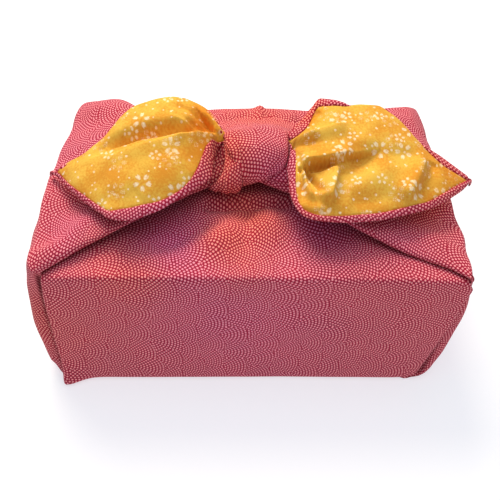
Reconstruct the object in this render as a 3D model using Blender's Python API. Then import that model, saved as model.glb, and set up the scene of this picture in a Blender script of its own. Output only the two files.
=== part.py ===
"""Furoshiki bundle: one square reversible cloth wrapped round a box shape and tied on top.

Metres, +Z up, the front face towards -Y, the origin at the middle of the base.
Every size below is in millimetres. The cloth is hollow: the front and back
corners make a band round the middle, the left and right corners are drawn up
as wings over the ends, and both are tied in a knot whose two tails are spread
as ears that show the lining.
"""

import bmesh
import bpy
import math
import numpy as np

MM = 0.001

# Driving sizes of the wrapped form.
DEPTH = 146.0
TOP = 94.5
CLOTH = 1.6
GAP = 0.3

# The band: how it is rounded at its long edges and drawn in at its two ends.
BOTTOM_RADIUS = 4.0
TOP_RADIUS = 3.0
EDGE_TOP_DROP = 1.5
END_FOLD_IN = ((0.0, 1.5), (1.3, 0.5), (2.8, 0.1))
BAND_STEPS = 15
HALF_LENGTH = 109.0

# How its walls stand: the right end drawn in towards the back, the lower right
# corner lifted, the lower left wall leaning out and its foot flared forwards.
BACK_DRAWN_IN = 5.0
DRAWN_IN_ABOVE = 18.0
CORNER_LIFT = 5.0
CORNER_LIFT_FROM = 86.0
CORNER_LIFT_WIDE = 20.0
LEAN_OUT = 1.3
LEAN_FROM = 20.0
LEAN_WIDE = 90.0
FOOT_FLARE = 8.2
FOOT_AT = -111.0
FOOT_WIDE = 11.0
FOOT_HIGH = 22.0

# Ears: red back, lining laid in its recess, and the rolled border round both.
EAR_BACK = 1.1
LINING = 1.0
LINING_STEP = 0.25
LINING_SET_DOWN = 0.15
EAR_FACE = (0.0, -0.42, 0.91)
EAR_SLOPE = (0.91, 0.42)


def table(columns, rows):
    """Rows of (name, value, ...) as one array for each named column."""
    names = columns.split()
    return {name: np.array([row[i + 1] for row in rows], float) for i, name in enumerate(names)}


# The end edges of the front and back walls, which lean a little with height.
SIDES = table("z left right", [
    ("floor", 0, -111.4, 101.0),
    ("foot", 18, -111.5, 105.0),
    ("waist", 44, -111.3, 109.8),
    ("chest", 65, -110.8, 113.8),
    ("shoulder", 79, -110.1, 115.2),
    ("brow", 88, -109.2, 117.0),
    ("top", 96, -108.4, 113.4),
])

# Soft swells and hollows of the flap that lies over the top of the box. They
# fade out towards its two long edges.
FADE_IN_FRONT = 14.0
FADE_BEHIND = 8.0
FLAP = table("x y height wide deep", [
    ("rise to the knot", 3, 4, 4.2, 60, 42),
    ("fullness behind the knot", 4, 60, 5.8, 62, 15),
    ("left puff", -16, -47, 5.6, 12, 11),
    ("right puff", 9, -37, 5.0, 13, 11),
    ("puff by the left crease", -50, -59, 1.8, 20, 8),
    ("left hollow", -40, -35, -2.4, 14, 11),
    ("right hollow", 46, -45, -2.6, 15, 9),
    ("middle hollow", -8, -27, -3.0, 9, 7),
    ("right puff by the edge", 58, -65, 1.6, 22, 7),
])

# Each wing from under the base, up the end wall and over the top to the knot.
# Front and back are its two folded edges, crown how far it stands proud of the
# line between them, lean which way it bulges, from 0 outwards to 90 upwards,
# and square how flat that bulge is in the middle.
WING_COLUMNS = "front_x front_y front_z back_x back_y back_z crown lean square"
LEFT_WING = table(WING_COLUMNS, [
    ("under", -95, -69, 0.6, -95, 67, 0.6, 0.0, 0, 4),
    ("sole", -103.5, -71, 0.7, -103, 72, 0.6, 0.6, 0, 4),
    ("corner tip", -109.5, -72, 1.6, -108.6, 75, 0.9, 4.0, 0, 4),
    ("heel", -110.6, -71.2, 6.4, -110.4, 74.8, 6, 8.0, 0, 4.5),
    ("low", -110.6, -70.6, 17, -110.6, 74.6, 17, 10.8, 0, 5),
    ("middle", -110.4, -70.4, 40, -110.2, 74.6, 40, 13.5, 0, 5),
    ("high", -110, -70.4, 64, -109.2, 74.4, 64, 13.8, 4, 4.5),
    ("shoulder", -109.2, -71.2, 84, -108, 74, 85, 12.2, 18, 4),
    ("front corner", -108.6, -72.0, 96.6, -105, 71.6, 97.4, 10.0, 46, 3.6),
    ("over the edge", -100, -64.6, 97.0, -97, 70.6, 99.9, 6.6, 72, 3.2),
    ("back lobe", -88.6, -57.4, 99.8, -84, 69.4, 102.2, 5.8, 86, 3),
    ("outer top", -77, -50.6, 102, -70, 62, 100.4, 5.8, 90, 2.8),
    ("middle top", -64, -43, 104.6, -54, 47, 101, 6.2, 90, 2.6),
    ("inner top", -51, -35.6, 106.6, -41, 33, 103.2, 6.4, 90, 2.4),
    ("gather", -36, -25.6, 107.4, -29, 22, 104.8, 7.2, 90, 2.2),
    ("neck", -22, -15, 106.2, -20, 14, 105.4, 8.6, 90, 2.1),
    ("in the knot", -8, -8, 106.0, -8, 10, 105.6, 8.0, 90, 2),
])
RIGHT_WING = table(WING_COLUMNS, [
    ("under", 86, -67, 0.6, 88, 67, 0.6, 0.0, 0, 4),
    ("sole", 95, -71.5, 2.2, 98, 72, 0.6, 0.4, 0, 4),
    ("rounded corner", 102.6, -71.6, 6.4, 104, 74.4, 2.0, 3.2, 0, 4),
    ("heel", 105, -71.2, 12, 107, 74.6, 8, 5.0, 0, 4.5),
    ("low", 107, -70.6, 22, 108.4, 74.6, 20, 7.6, 0, 5),
    ("middle", 110, -70.4, 44, 110.2, 74.6, 42, 8.2, 0, 5),
    ("high", 113.2, -70.4, 65, 111.0, 74.4, 64, 6.8, 4, 4.5),
    ("shoulder", 114.4, -70.8, 84, 110.6, 74, 84, 4.4, 14, 4),
    ("front corner", 112.6, -71.6, 95.4, 106.4, 71.4, 96.6, 2.2, 46, 3.6),
    ("over the edge", 103.6, -65.6, 96.8, 97.6, 69, 99.2, 4.0, 74, 3.2),
    ("back lobe", 93, -61.2, 97.8, 86, 66.6, 99.2, 5.4, 86, 3),
    ("outer top", 82, -57.0, 99.4, 72, 59, 99.4, 5.8, 90, 2.8),
    ("middle top", 69, -50.8, 101.6, 58, 47, 101, 6.2, 90, 2.6),
    ("inner top", 54, -43.6, 104.2, 45, 33, 103.2, 6.4, 90, 2.4),
    ("gather", 40, -34.6, 107.6, 33, 22, 104.8, 7.2, 90, 2.2),
    ("neck", 27, -23, 106.6, 25, 14, 105.4, 8.6, 90, 2.1),
    ("in the knot", 13, -13, 106.4, 13, 10, 105.6, 8.0, 90, 2),
])
WING_SKEW = 0.48
WING_ROWS = 25
WING_STEPS = 16

# Folds drawn on a wing: from (along, across) to (along, across), each 0 to 1,
# with its width on the right of that line (near) and on the left of it (far).
FOLD_COLUMNS = "from_along from_across to_along to_across near far height"
LEFT_WING_FOLDS = table(FOLD_COLUMNS, [
    ("valley by the ear", 0.53, 0.13, 0.61, 0.36, 0.06, 0.06, -3.8),
    ("puff at the corner", 0.54, 0.05, 0.62, 0.10, 0.05, 0.05, 2.0),
    ("puff of the back corner", 0.59, 0.90, 0.64, 0.88, 0.07, 0.07, 3.4),
    ("drawn in behind the ear", 0.44, 0.76, 0.55, 0.80, 0.09, 0.09, -1.8),
    ("full end by the ear tip", 0.47, 0.34, 0.51, 0.48, 0.06, 0.08, 2.4),
    ("gather in front", 0.74, 0.20, 0.95, 0.36, 0.05, 0.05, 2.4),
    ("gather behind", 0.70, 0.80, 0.95, 0.62, 0.06, 0.06, 2.8),
    ("middle gather", 0.78, 0.50, 0.96, 0.50, 0.04, 0.04, -2.4),
    ("slack in the wall", 0.24, 0.30, 0.44, 0.36, 0.08, 0.08, -1.0),
])
RIGHT_WING_FOLDS = table(FOLD_COLUMNS, [
    ("valley under the ear", 0.57, 0.28, 0.68, 0.13, 0.06, 0.06, -3.6),
    ("puff at the corner", 0.52, 0.05, 0.60, 0.12, 0.05, 0.05, 1.8),
    ("puff of the back corner", 0.56, 0.90, 0.62, 0.88, 0.07, 0.07, 2.6),
    ("full end by the ear", 0.47, 0.20, 0.51, 0.44, 0.06, 0.08, 2.8),
    ("gather in front", 0.74, 0.20, 0.95, 0.36, 0.05, 0.05, 2.4),
    ("gather behind", 0.70, 0.80, 0.95, 0.62, 0.06, 0.06, 2.8),
    ("middle gather", 0.78, 0.50, 0.96, 0.50, 0.04, 0.04, -2.4),
    ("slack in the wall", 0.24, 0.25, 0.44, 0.30, 0.08, 0.08, -1.2),
])

# Each ear from the knot to its tip, between its upper and its lower edge.
# crown is how far the cloth swells between them, and the two borders are the
# widths of red cloth that show along the edges.
EAR_COLUMNS = ("upper_x upper_y upper_z lower_x lower_y lower_z crown"
               " upper_border lower_border")
LEFT_EAR = table(EAR_COLUMNS, [
    ("in the knot", -8, 3, 121, -8, -6, 118, 0, 0.5, 1.5),
    ("root", -15, 5.5, 127.5, -15.5, 3, 121.5, 0.4, 0.5, 1),
    ("opening", -19, 11, 131, -18.5, -0.5, 119.5, 1.6, 0.5, 4),
    ("red turn-back", -25, 16.5, 135, -20.5, -14, 119, 3, 0.5, 13.5),
    ("fan creases", -32, 19.5, 137.5, -21, -20.5, 118, 4.2, 0.5, 15.5),
    ("upper lobe", -38, 21, 139, -25, -26, 117.5, 5, 0.5, 11),
    ("top of the lobe", -44.5, 21.5, 139.5, -31.5, -31.5, 117, 5.6, 0.5, 5),
    ("past the top", -51.5, 20.5, 139, -38, -37, 116.5, 6, 0.5, 3.5),
    ("middle", -58.5, 18.5, 138, -46.5, -44, 115.5, 6, 0.5, 4.5),
    ("shoulder", -65.5, 16, 136.5, -56, -49, 115, 5.6, 0.5, 6),
    ("falling edge", -72, 10, 134, -64, -51.5, 114.5, 5, 0.5, 6.5),
    ("lowest corner", -76.5, 3.5, 131.5, -72, -50.5, 114, 4.4, 0.5, 5),
    ("past the corner", -81, -1, 128, -79, -46, 113, 3.8, 0.5, 5.5),
    ("narrowing", -86.5, -4.5, 125, -86, -40, 112, 3.2, 0.5, 6),
    ("near the tip", -92.5, -7, 121, -93.5, -32.5, 111.5, 2.6, 0.5, 5.5),
    ("last of the field", -100, -8, 117, -100.5, -24, 110.5, 1.8, 0.5, 5),
    ("tip border", -107, -9, 112.5, -108, -15, 109, 0.8, 1.5, 4),
    ("tip", -112.5, -7, 109, -112.5, -8.5, 108, 0, 0.5, 0.5),
])
RIGHT_EAR = table(EAR_COLUMNS, [
    ("in the knot", 13, 4, 121, 13, -6, 118, 0, 1.5, 1.5),
    ("root", 20, 3, 126.5, 20, -2, 123.5, 0.4, 2, 3),
    ("opening", 23, 7.5, 129.5, 20, -8.5, 122, 1, 8, 7.5),
    ("flare", 27, 10, 132.5, 19, -16.5, 121, 1.8, 11.5, 12),
    ("rising flare", 30.5, 12.5, 136, 19.5, -25, 120, 2.4, 14, 16),
    ("below the peak", 33.5, 15, 138.5, 20, -33.5, 119, 3, 15.5, 13.5),
    ("peak", 38, 19, 141, 22.5, -42.5, 117.5, 3.6, 6.5, 5.5),
    ("behind the peak", 45, 18, 141, 27, -49, 116.5, 4.4, 4.5, 3),
    ("turn-back ends", 53, 16, 140, 35, -51.5, 115.5, 5.2, 2, 3),
    ("upper roll", 61.5, 16.5, 139, 45.5, -52, 115, 6, 0.5, 3.5),
    ("top of the roll", 70, 17, 138, 56.5, -50.5, 114, 6.2, 0.5, 4),
    ("falling edge", 76, 14, 136, 67, -48.5, 113.5, 6, 0.5, 4),
    ("side", 81, 10.5, 134, 77.5, -45, 113, 5.6, 0.5, 4),
    ("middle of the side", 86, 5, 131.5, 87, -41.5, 112.5, 5, 0.5, 4),
    ("outer side", 91, -1, 128.5, 95, -38, 112, 4.2, 0.5, 4),
    ("border begins", 97, -3.5, 125, 102.5, -33.5, 112, 3.4, 4, 4.5),
    ("near the tip", 104, -5, 121, 108.5, -28.5, 111.5, 2.6, 7.5, 4.5),
    ("last of the field", 111.5, -8.5, 117, 114.5, -23.5, 111.5, 1.6, 6, 4),
    ("tip border", 118, -11.5, 113.5, 118.5, -19, 111.5, 0.6, 3.5, 3),
    ("tip", 121.5, -14, 112, 121, -15.5, 111.5, 0, 0.5, 0.5),
])
# Folds on an ear, each a bent line through three places on the ear's own slope,
# in millimetres: along is x and across is the distance up the slope.
BEND_STEPS = 8
EAR_FOLD_COLUMNS = ("from_along from_across via_along via_across to_along to_across"
                    " near far height")
LEFT_EAR_FOLDS = table(EAR_FOLD_COLUMNS, [
    ("upper lobe", -32, 56.5, -54.5, 59, -71, 47, 11, 9, 3),
    ("main valley", -19.5, 57.5, -48, 51, -80.5, 42.5, 6.5, 3, -7.6),
    ("valley turns up", -74, 40, -79, 42, -83, 48, 3, 3, -2.6),
    ("lip below the valley", -24.5, 54.5, -47, 47, -73.5, 35, 3, 6, 1.8),
    ("lower field", -30, 34.5, -52.5, 24.5, -76, 21, 12, 12, 1.6),
    ("ridge of the fan", -19, 55, -31.5, 57.5, -48, 64.5, 3, 6, 2.6),
    ("trough of the fan", -20.5, 58.5, -32.5, 66.5, -46.5, 73.5, 3, 3, -2.2),
    ("dent in the field", -57.5, 17.5, -67.5, 14.5, -78.5, 18, 4, 6, -1),
])
RIGHT_EAR_FOLDS = table(EAR_FOLD_COLUMNS, [
    ("upper ridge", 21, 50.5, 37, 53.5, 53.5, 59.5, 7, 3, 4.2),
    ("orange hollow", 31, 57.5, 34, 63, 38.5, 67.5, 3, 3, -2.2),
    ("shade under the ridge", 21.5, 48, 29, 46, 37.5, 49, 3, 3, -3),
    ("long roll", 25, 36, 43.5, 40, 71, 51, 5, 5, 2),
    ("lip of the long roll", 25.5, 34.5, 43, 35.5, 69, 43.5, 3, 4, 1.8),
    ("crease under the roll", 27.5, 34, 44.5, 35.5, 71, 43.5, 10, 3, -5.6),
    ("broad valley", 62, 41.5, 78, 40.5, 92, 38.5, 8, 7, -3.2),
    ("outer ridge", 93, 40, 87.5, 25.5, 79, 13.5, 6, 3, 4.6),
    ("shade past the ridge", 98, 40, 93.5, 26.5, 86, 14.5, 3, 4, -2),
    ("right edge of the box fold", 45, 30.5, 42, 19.5, 39.5, 8.5, 7, 3, 5.6),
    ("crease of the box fold", 27.5, 33, 32, 25, 37.5, 16, 3, 3, -4),
    ("left pleat", 27, 30, 29, 21, 33, 11.5, 3, 3, 2.6),
    ("foot of the box fold", 24.5, 10.5, 32, 7.5, 39.5, 9, 3, 4, 2.6),
    ("dent in the lower field", 50.5, 13, 63.5, 14.5, 75, 20, 5, 6, -1.2),
])
EAR_ROWS = 23
EAR_STEPS = 13
BORDER_SHARE = 0.8
LINING_SPAN = {"left": (0.07, 0.915), "right": (0.125, 0.905)}

# The knot: the wide band that comes over the top and the turns beside it.
KNOT = table("x y z across deep high turn", [
    ("band over the knot", 3.4, -2, 117.6, 16.4, 18.5, 15.0, -4),
    ("left lower turn", -12.4, -11.5, 112.4, 13.0, 11, 8.0, -42),
    ("right lower turn", 15, -9.5, 111.0, 12.5, 9.5, 8.4, 6),
    ("left shoulder", -15, 4, 112.5, 8.5, 12, 10, 10),
    ("right shoulder", 20.5, 2, 116, 7.5, 11, 10.5, -8),
    ("turn behind", 3, 15.5, 109, 24, 10.5, 8.4, 0),
])
KNOT_ROUND = 20
KNOT_RINGS = 10
KNOT_SQUARE = 2.8

RED = (0.60, 0.045, 0.075, 1.0)
YELLOW = (0.83, 0.43, 0.045, 1.0)
CLOTH_ROUGHNESS = 0.9


def clear_scene():
    for thing in list(bpy.data.objects):
        bpy.data.objects.remove(thing, do_unlink=True)


def cloth_material(name, colour):
    material = bpy.data.materials.new(name)
    material.use_nodes = True
    shader = material.node_tree.nodes["Principled BSDF"]
    shader.inputs["Base Color"].default_value = colour
    shader.inputs["Roughness"].default_value = CLOTH_ROUGHNESS
    shader.inputs["Metallic"].default_value = 0.0
    return material


def smooth(values, where):
    """A curve through evenly spaced values that never overshoots them, read at 0 to 1."""
    values = np.asarray(values, float)
    place = np.clip(np.asarray(where, float), 0.0, 1.0) * (len(values) - 1)
    start = np.minimum(place.astype(int), len(values) - 2)
    step = place - start
    rise = np.diff(values)
    before, after = rise[:-1], rise[1:]
    turning = before * after <= 0
    mean = np.where(turning, 1.0, before + after)
    inner = np.where(turning, 0.0, 2.0 * before * after / mean)
    slope = np.concatenate(([rise[0]], inner, [rise[-1]]))
    square, cube = step ** 2, step ** 3
    return (values[start] * (2 * cube - 3 * square + 1)
            + values[start + 1] * (3 * square - 2 * cube)
            + slope[start] * (cube - 2 * square + step)
            + slope[start + 1] * (cube - square))


def fold_height(folds, along, across):
    """Ridges and troughs summed over a sheet; each may be steeper on one side and bent."""
    total = np.zeros(np.broadcast(along, across).shape)
    for i, height in enumerate(folds["height"]):
        start = np.array([folds["from_along"][i], folds["from_across"][i]])
        end = np.array([folds["to_along"][i], folds["to_across"][i]])
        bent = "via_along" in folds
        line = np.stack([start, end])
        if bent:
            via = np.array([folds["via_along"][i], folds["via_across"][i]])
            step = np.linspace(0, 1, BEND_STEPS)[:, None]
            line = start + (end - start) * step
            line = line + (2 * via - start - end) * 2 * step * (1 - step)
        nearest = np.full(total.shape, np.inf)
        side = np.zeros(total.shape)
        place = np.zeros(total.shape)
        for k in range(len(line) - 1):
            run = line[k + 1] - line[k]
            reach = ((along - line[k][0]) * run[0] + (across - line[k][1]) * run[1]) / (run @ run)
            reach = np.clip(reach, 0, 1)
            off_x = along - line[k][0] - reach * run[0]
            off_y = across - line[k][1] - reach * run[1]
            away = np.hypot(off_x, off_y)
            closer = away < nearest
            side = np.where(closer, run[0] * off_y - run[1] * off_x, side)
            place = np.where(closer, (k + reach) / (len(line) - 1), place)
            nearest = np.minimum(nearest, away)
        width = np.where(side > 0, folds["far"][i], folds["near"][i])
        taper = 1.0
        if bent:
            widths = math.dist(start, end) / max(folds["far"][i], folds["near"][i])
            rise, fall = np.clip(widths * place, 0, 1), np.clip(4 * (1 - place), 0, 1)
            taper = rise * rise * (3 - 2 * rise) * fall * fall * (3 - 2 * fall)
        total = total + height * taper * np.exp(-(nearest / width) ** 2)
    return total


def flap_top(x, y):
    """Height of the cloth that lies over the top of the box."""
    swell = np.zeros(np.broadcast(x, y).shape)
    for i in range(len(FLAP["x"])):
        far = ((x - FLAP["x"][i]) / FLAP["wide"][i]) ** 2
        far = far + ((y - FLAP["y"][i]) / FLAP["deep"][i]) ** 2
        swell = swell + FLAP["height"][i] * np.exp(-far)
    fade = np.clip((DEPTH / 2 - np.abs(y)) / np.where(y > 0, FADE_BEHIND, FADE_IN_FRONT), 0, 1)
    drop = EDGE_TOP_DROP * (np.abs(x) / HALF_LENGTH) ** 6
    return TOP - drop + swell * fade * fade * (3 - 2 * fade)


def arc(centre_y, centre_z, radius, start, steps):
    """A quarter turn, clockwise seen from +X, as (y, z) points."""
    angles = [math.radians(start - 90.0 * i / steps) for i in range(steps + 1)]
    return [(centre_y + radius * math.cos(a), centre_z + radius * math.sin(a)) for a in angles]


def band_profile():
    """Once round the band in (y, z), from the back of the base to the back wall."""
    half = DEPTH / 2
    low, high = BOTTOM_RADIUS, TOP_RADIUS
    base = [(y, 0.0) for y in np.linspace(half - low - 10, -(half - low - 10), 5)]
    front = [(-half, z) for z in np.linspace(low + 12, TOP - high - 8, 4)]
    top_reach = half - high
    top = [(top_reach * s, TOP) for s in (-0.91, -0.79, -0.67, -0.56, -0.44, -0.32, -0.16,
                                          0.04, 0.26, 0.5, 0.72, 0.88)]
    back = [(half, z) for z in np.linspace(TOP - high - 8, low + 12, 3)]
    return np.array(base + arc(-half + low, low, low, 270, 3) + front
                    + arc(-half + high, TOP - high, high, 180, 3) + top
                    + arc(half - high, TOP - high, high, 90, 3) + back
                    + arc(half - low, low, low, 0, 3))


def band_grid():
    """Rows along X, each row once round; the ends turn inwards behind the wings."""
    profile = band_profile()
    half, middle = DEPTH / 2, TOP / 2
    ends = [(1 - inset / HALF_LENGTH, fold) for inset, fold in END_FOLD_IN]
    middles = [(share, 0.0) for share in np.linspace(0.94, -0.94, BAND_STEPS)]
    sections = ends + middles + [(-share, fold) for share, fold in reversed(ends)]
    share, fold = (np.array(values)[:, None] for values in zip(*sections))
    y, z = profile[None, :, 0], profile[None, :, 1]
    left = np.interp(z, SIDES["z"], SIDES["left"])
    drawn_in = BACK_DRAWN_IN * (y / DEPTH + 0.5) * np.clip(z / DRAWN_IN_ABOVE, 0, 1)
    right = np.interp(z, SIDES["z"], SIDES["right"]) - drawn_in
    x = left + (right - left) * (share + 1) / 2
    upper = np.clip((z - middle) / middle, 0, 1)
    high = z + (flap_top(x, y) - TOP) * upper ** 3
    lift = CORNER_LIFT * np.maximum(0.0, (x - CORNER_LIFT_FROM) / CORNER_LIFT_WIDE) ** 2
    high = np.where(z < middle, high + lift * (1 - z / middle), high)
    foot = FOOT_FLARE * np.exp(-((x - FOOT_AT) / FOOT_WIDE) ** 2)
    foot = foot * np.clip(1 - z / FOOT_HIGH, 0, 1) ** 2
    lean = LEAN_OUT * np.clip((LEAN_FROM - x) / LEAN_WIDE, 0, 1) * np.clip(1 - z / TOP, 0, 1)
    forward = (foot + lean) * np.clip((BOTTOM_RADIUS - half - y) / BOTTOM_RADIUS, 0, 1)
    return np.stack(np.broadcast_arrays(
        x, y * (1 - fold / half) - forward, middle + (high - middle) * (1 - fold / middle)), axis=-1)


def wing_grid(wing, folds, side):
    """A wing's outer face, side -1 for the left and 1 for the right.

    The steps across crowd towards its two folded edges.
    """
    along = np.linspace(0, 1, WING_ROWS + 1)[:, None]
    across = ((1 - np.cos(np.linspace(0, math.pi, WING_STEPS + 1))) / 2)[None, :]
    at = {name: smooth(values, along[:, 0]) for name, values in wing.items()}
    front = np.stack([at["front_x"], at["front_y"], at["front_z"]], axis=-1)[:, None, :]
    back = np.stack([at["back_x"], at["back_y"], at["back_z"]], axis=-1)[:, None, :]
    lean = np.radians(at["lean"])[:, None]
    out = np.stack([side * np.cos(lean), 0 * lean, np.sin(lean)], axis=-1)
    square = at["square"][:, None]
    swell = (1 - np.abs(2 * across - 1) ** square) ** (1 / square)
    swell = swell * (1 - WING_SKEW * across * np.cos(lean))
    height = (at["crown"][:, None] + fold_height(folds, along, across)) * swell
    return front + (back - front) * across[:, :, None] + out * height[:, :, None]


def ear_edges(ear, along):
    """The sizes of an ear at each place along it, and its upper and lower edge."""
    at = {name: smooth(values, along[:, 0])[:, None] for name, values in ear.items()}
    upper = np.stack([at["upper_x"], at["upper_y"], at["upper_z"]], axis=-1)
    lower = np.stack([at["lower_x"], at["lower_y"], at["lower_z"]], axis=-1)
    return at, upper, lower


def ear_face(ear, folds, along, across):
    """Points of an ear's lining face; along is a column and across a full grid."""
    at, upper, lower = ear_edges(ear, along)
    flat = upper + (lower - upper) * across[:, :, None]
    slope = EAR_SLOPE[0] * flat[:, :, 1] + EAR_SLOPE[1] * flat[:, :, 2]
    edge = np.minimum(1.0, 8 * across * (1 - across))
    height = at["crown"] * 4 * across * (1 - across)
    height = height + fold_height(folds, flat[:, :, 0], slope) * edge
    return flat + np.array(EAR_FACE) * height[:, :, None]


def ear_stations(ear, along):
    """Places across each row: edge, border, foot of the step, then the field between."""
    at, upper, lower = ear_edges(ear, along)
    wide = np.linalg.norm(upper - lower, axis=2)
    edges = at["upper_border"] + at["lower_border"] + 2 * LINING_STEP
    scale = np.minimum(1.0, BORDER_SHARE * wide / edges)
    first = at["upper_border"] * scale / wide
    last = 1 - at["lower_border"] * scale / wide
    step = LINING_STEP * scale / wide
    field = first + step + (last - first - 2 * step) * np.linspace(0, 1, EAR_STEPS)[None, :]
    across = np.concatenate([0 * wide, first, field, last, 1 + 0 * wide], axis=1)
    return across, GAP / wide[:, 0]


def ear_rows(side):
    """Places along an ear, with a close pair where its lining begins and ends."""
    start, end = LINING_SPAN[side]
    nudge = 0.003
    field = np.linspace(start + nudge, end - nudge, EAR_ROWS)
    return np.array([0.0, start / 2, start, *field, end, (1 + end) / 2, 1.0])[:, None]


def sheet_normals(grid, ring=False):
    """Unit normals of a grid of points, from its own neighbours."""
    down = np.gradient(grid, axis=0)
    if ring:
        over = (np.roll(grid, -1, axis=1) - np.roll(grid, 1, axis=1)) / 2
    else:
        over = np.gradient(grid, axis=1)
    normals = np.cross(down, over)
    return normals / np.linalg.norm(normals, axis=2, keepdims=True)


def slab(name, outer, inner, material, ring=False):
    """A closed solid between two grids; ring joins the last column to the first."""
    rows, columns = outer.shape[:2]
    mesh = bpy.data.meshes.new(name)
    shape = bmesh.new()
    tops = [[shape.verts.new(p * MM) for p in row] for row in outer]
    feet = [[shape.verts.new(p * MM) for p in row] for row in inner]
    spans = columns if ring else columns - 1
    for i in range(rows - 1):
        for j in range(spans):
            k = (j + 1) % columns
            shape.faces.new((tops[i][j], tops[i + 1][j], tops[i + 1][k], tops[i][k]))
            shape.faces.new((feet[i][j], feet[i][k], feet[i + 1][k], feet[i + 1][j]))
    for i in (0, rows - 1):
        for j in range(spans):
            k = (j + 1) % columns
            shape.faces.new((tops[i][j], tops[i][k], feet[i][k], feet[i][j]))
    if not ring:
        for i in range(rows - 1):
            for j in (0, columns - 1):
                shape.faces.new((tops[i][j], tops[i + 1][j], feet[i + 1][j], feet[i][j]))
    bmesh.ops.triangulate(shape, faces=shape.faces)
    bmesh.ops.recalc_face_normals(shape, faces=shape.faces)
    shape.to_mesh(mesh)
    shape.free()
    mesh.materials.append(material)
    thing = bpy.data.objects.new(name, mesh)
    bpy.context.collection.objects.link(thing)
    return thing


def thick_sheet(name, grid, thickness, material, outwards, ring=False):
    """A slab whose other face lies one thickness behind the grid."""
    normals = sheet_normals(grid, ring) * outwards
    return slab(name, grid, grid - normals * thickness, material, ring)


def knot_lump(name, i, grow, material):
    """One rounded turn of the knot, grown by a margin when it is used as a cutter."""
    sizes = [KNOT[axis][i] + grow for axis in ("across", "deep", "high")]
    turn = math.radians(KNOT["turn"][i])
    power = 2 / KNOT_SQUARE
    shape = bmesh.new()
    bmesh.ops.create_uvsphere(shape, u_segments=KNOT_ROUND, v_segments=KNOT_RINGS, radius=1.0)
    for vert in shape.verts:
        x, y, z = (math.copysign(abs(c) ** power, c) * s for c, s in zip(vert.co, sizes))
        vert.co = ((KNOT["x"][i] + x * math.cos(turn) + z * math.sin(turn)) * MM,
                   (KNOT["y"][i] + y) * MM,
                   (KNOT["z"][i] - x * math.sin(turn) + z * math.cos(turn)) * MM)
    bmesh.ops.triangulate(shape, faces=shape.faces)
    bmesh.ops.recalc_face_normals(shape, faces=shape.faces)
    mesh = bpy.data.meshes.new(name)
    shape.to_mesh(mesh)
    shape.free()
    mesh.materials.append(material)
    thing = bpy.data.objects.new(name, mesh)
    bpy.context.collection.objects.link(thing)
    return thing


def hide(thing):
    thing.hide_render = True
    thing.display_type = "WIRE"
    return thing


def join(target, other, operation):
    """Adds a live Boolean; the other shape stays as a hidden guide."""
    change = target.modifiers.new(other.name, "BOOLEAN")
    change.operation = operation
    change.solver = "EXACT"
    change.object = hide(other)


def ear(side, rows, folds, red, yellow, cutters):
    """The red back with its border, and the lining that lies in its recess."""
    along = ear_rows(side)
    across, clearance = ear_stations(rows, along)
    face = ear_face(rows, folds, along, across)
    down = -np.array(EAR_FACE)
    recess = np.zeros(face.shape[:2])
    recess[3:-3, 2:-2] = LINING + GAP
    top = face + down * recess[:, :, None]
    foot = face + down * (EAR_BACK + LINING + GAP)
    back = slab("ear_back_" + side, top, foot, red)

    field = across[3:-3, 2:-2].copy()
    field[:, 0] += clearance[3:-3]
    field[:, -1] -= clearance[3:-3]
    laid = ear_face(rows, folds, along[3:-3], field)
    for end, beside in ((0, 1), (-1, -2)):
        margin = laid[beside] - laid[end]
        laid[end] += margin * (GAP / np.linalg.norm(margin, axis=1, keepdims=True))
    lining = slab("lining_" + side, laid + down * LINING_SET_DOWN, laid + down * LINING, yellow)
    for cutter in cutters:
        join(lining, cutter, "DIFFERENCE")
    return back


def build():
    clear_scene()
    red = cloth_material("red outer cloth", RED)
    yellow = cloth_material("yellow lining", YELLOW)

    cloth = thick_sheet("outer_cloth", band_grid(), CLOTH, red, -1.0, ring=True)
    left_wing = thick_sheet("wing_left", wing_grid(LEFT_WING, LEFT_WING_FOLDS, -1),
                            CLOTH, red, 1.0)
    right_wing = thick_sheet("wing_right", wing_grid(RIGHT_WING, RIGHT_WING_FOLDS, 1),
                             CLOTH, red, -1.0)
    count = len(KNOT["x"])
    lumps = [knot_lump(f"knot_turn_{i}", i, 0.0, red) for i in range(count)]
    cutters = [knot_lump(f"knot_margin_{i}", i, GAP, red) for i in range(count)]
    left_back = ear("left", LEFT_EAR, LEFT_EAR_FOLDS, red, yellow, cutters)
    right_back = ear("right", RIGHT_EAR, RIGHT_EAR_FOLDS, red, yellow, cutters)
    for other in [left_wing, right_wing, *lumps, left_back, right_back]:
        join(cloth, other, "UNION")


build()
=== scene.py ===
"""Furoshiki bundle dressed for its photograph: crimson outer cloth, yellow lining.

The forms repeat part.py's named sizes, in millimetres, on finer grids with more
folds. Metres in Blender, +Z up, the front face towards -Y.
"""

import math

import bpy
import numpy as np
from mathutils import Matrix, Vector, noise


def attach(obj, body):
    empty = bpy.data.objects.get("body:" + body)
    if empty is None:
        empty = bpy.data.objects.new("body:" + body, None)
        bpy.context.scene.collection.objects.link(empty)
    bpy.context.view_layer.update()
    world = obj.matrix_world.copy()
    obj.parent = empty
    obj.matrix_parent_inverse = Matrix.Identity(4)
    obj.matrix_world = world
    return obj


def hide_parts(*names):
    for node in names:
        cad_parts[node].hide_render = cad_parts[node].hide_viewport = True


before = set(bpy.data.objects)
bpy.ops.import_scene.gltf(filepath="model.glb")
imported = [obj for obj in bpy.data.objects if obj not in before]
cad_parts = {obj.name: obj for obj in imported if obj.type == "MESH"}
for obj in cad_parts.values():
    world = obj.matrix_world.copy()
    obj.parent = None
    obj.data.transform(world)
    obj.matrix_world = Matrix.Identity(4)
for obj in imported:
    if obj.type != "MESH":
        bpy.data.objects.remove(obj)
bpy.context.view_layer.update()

MM = 0.001

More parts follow.
